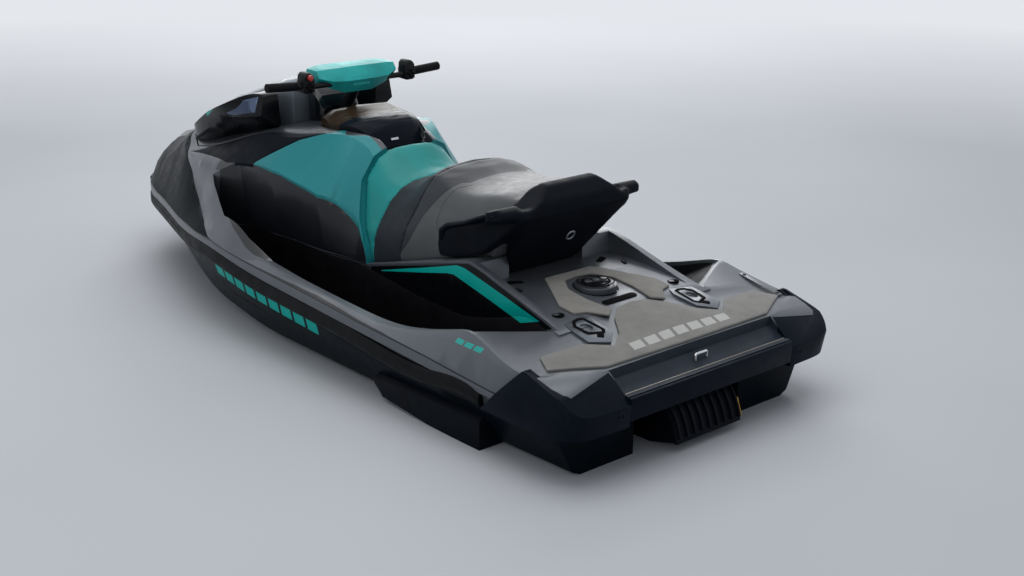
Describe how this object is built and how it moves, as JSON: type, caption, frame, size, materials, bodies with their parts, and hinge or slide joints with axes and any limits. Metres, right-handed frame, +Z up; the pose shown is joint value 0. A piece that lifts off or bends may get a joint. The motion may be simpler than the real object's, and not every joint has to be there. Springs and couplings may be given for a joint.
{
  "type": "personal watercraft",
  "caption": "Three-seat personal watercraft with a stepped saddle, straddle footwells, handlebar steering, storage hood and jet drive with a reverse gate.",
  "frame": {"origin": "on the centreline, amidships, at the still waterline, 170 mm above the keel", "axes": "+X to the bow, +Y to port, +Z up"},
  "size_m": [3.3183, 1.257, 1.145],
  "materials": {
    "hull_gloss": "gloss black moulded hull",
    "core_foam": "closed-cell flotation foam",
    "deck_paint": "dark grey metallic gloss",
    "fender_paint": "dark grey metallic gloss",
    "bow_gloss": "gloss black",
    "hood_gloss": "gloss black",
    "cowl_plastic": "satin grey moulding",
    "black_plastic": "grained black moulding",
    "panel_gloss": "gloss black panel with a stripe",
    "teal_panel": "teal satin panel",
    "teal_pad": "teal pad cover",
    "teal_vinyl": "teal seat vinyl",
    "dark_vinyl": "dark grey seat vinyl",
    "grey_vinyl": "grey seat vinyl",
    "mat_foam": "taupe foam mat",
    "liner_rubber": "black footwell lining",
    "bumper_plastic": "satin black bumper",
    "rail_rubber": "black rub rail",
    "mirror_glass": "mirror glass",
    "mirror_shell": "gloss dark grey",
    "screen": "display face",
    "grip_rubber": "black grip",
    "bar_metal": "black coated aluminium",
    "alloy": "cast alloy",
    "steel": "stainless steel",
    "engine_alloy": "plain block",
    "cap_plastic": "satin black cap"
  },
  "bodies": {
    "craft": {"hull": "hull_gloss", "hull_topsides": "hull_gloss", "flotation_core": "core_foam", "deck": "deck_paint", "console": "black_plastic", "fenders": "fender_paint", "bow_shell": "bow_gloss", "wedge_panels": "black_plastic", "knee_panels": "teal_panel", "side_panels": "panel_gloss", "footwell_liners": "liner_rubber", "glovebox_bin": "black_plastic", "storage_bin": "black_plastic", "dash": "screen", "seat_front": "teal_vinyl", "seat_bolster": "dark_vinyl", "seat_rear": "grey_vinyl", "grab_handle": "black_plastic", "rear_mat": "mat_foam", "front_mat": "mat_foam", "socket_plates": "black_plastic", "tow_hook": "steel", "rub_rails": "rail_rubber", "corner_bumpers": "bumper_plastic", "stern_bumper": "bumper_plastic", "nose_bumper": "bumper_plastic", "bow_eye": "steel", "sponsons": "black_plastic", "ride_plate": "black_plastic", "intake_grate": "alloy", "pump_housing": "alloy", "engine_block": "engine_alloy"},
    "steering": {"steering_column": "bar_metal", "handlebar": "bar_metal", "grips": "grip_rubber", "handlebar_pad": "teal_pad", "control_levers": "bar_metal"},
    "hood": {"hood_lid": "hood_gloss", "cowl": "cowl_plastic", "mirror_housings": "mirror_shell", "mirror_glasses": "mirror_glass"},
    "glovebox": {"glovebox_lid": "bow_gloss"},
    "cap": {"deck_cap": "cap_plastic"},
    "rotor": {"impeller": "steel"},
    "jet_nozzle": {"nozzle": "alloy"},
    "gate": {"reverse_gate": "black_plastic"}
  },
  "joints": [
    {"name": "steering_turn", "type": "hinge", "parent": "craft", "child": "steering", "pos_m": [0.205, 0, 0.915], "axis": [-0.5592, 0, 0.829], "range_deg": [-22, 22]},
    {"name": "nozzle_turn", "type": "hinge", "parent": "craft", "child": "jet_nozzle", "pos_m": [-1.474, 0, -0.03], "axis": [0, 0, 1], "range_deg": [-22, 22]},
    {"name": "gate_swing", "type": "hinge", "parent": "craft", "child": "gate", "pos_m": [-1.43, 0, 0.002], "axis": [0, -1, 0], "range_deg": [-26, 38]},
    {"name": "impeller_spin", "type": "hinge", "parent": "craft", "child": "rotor", "pos_m": [-1.27, 0, -0.03], "axis": [1, 0, 0], "continuous": true},
    {"name": "hood_lift", "type": "hinge", "parent": "craft", "child": "hood", "pos_m": [1.568, 0, 0.456], "axis": [0, 1, 0], "range_deg": [0, 60]},
    {"name": "glovebox_lift", "type": "hinge", "parent": "craft", "child": "glovebox", "pos_m": [0.222, 0, 0.78], "axis": [0, 1, 0], "range_deg": [0, 35]},
    {"name": "cap_turn", "type": "hinge", "parent": "craft", "child": "cap", "pos_m": [-1.121, 0, 0.39], "axis": [0, 0, 1], "range_deg": [0, 90]}
  ],
  "couplings": [
    {"joint": "nozzle_turn", "follows": "steering_turn", "ratio": -1}
  ]
}
